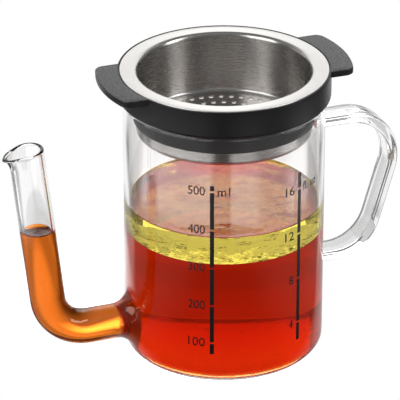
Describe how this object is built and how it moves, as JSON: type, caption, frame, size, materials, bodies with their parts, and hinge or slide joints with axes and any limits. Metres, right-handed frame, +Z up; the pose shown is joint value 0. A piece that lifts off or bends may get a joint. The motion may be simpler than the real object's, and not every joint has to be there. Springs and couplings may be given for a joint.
{
  "type": "gravy fat separator",
  "caption": "Straight-sided glass jug with a low bent spout, a strap handle, volume scales and a lift-out steel strainer bowl seated in an eared collar with a seal.",
  "frame": {"origin": "on the beaker's axis, in the plane that it stands on", "axes": "+Z up, +X from the axis towards the handle, -X towards the spout, -Y towards the printed scales"},
  "size_m": [0.1814, 0.0926, 0.1324],
  "materials": {
    "clear_glass": "clear and polished",
    "black_print": "fired enamel print",
    "black_plastic": "satin, ears finely textured",
    "dark_silicone": "matte",
    "steel": "brushed round the axis, flange finer"
  },
  "bodies": {
    "jug": {"glass_beaker": "clear_glass", "glass_spout": "clear_glass", "glass_handle": "clear_glass", "ml_scale": "black_print", "oz_scale": "black_print"},
    "holder": {"collar": "black_plastic", "seal_ring": "dark_silicone"},
    "strainer": {"strainer_bowl": "steel"}
  },
  "joints": [
    {"name": "holder_lift", "type": "slide", "parent": "jug", "child": "holder", "axis": [0, 0, 1], "range_m": [0, 0.06]},
    {"name": "strainer_lift", "type": "slide", "parent": "holder", "child": "strainer", "axis": [0, 0, 1], "range_m": [0, 0.045]}
  ]
}
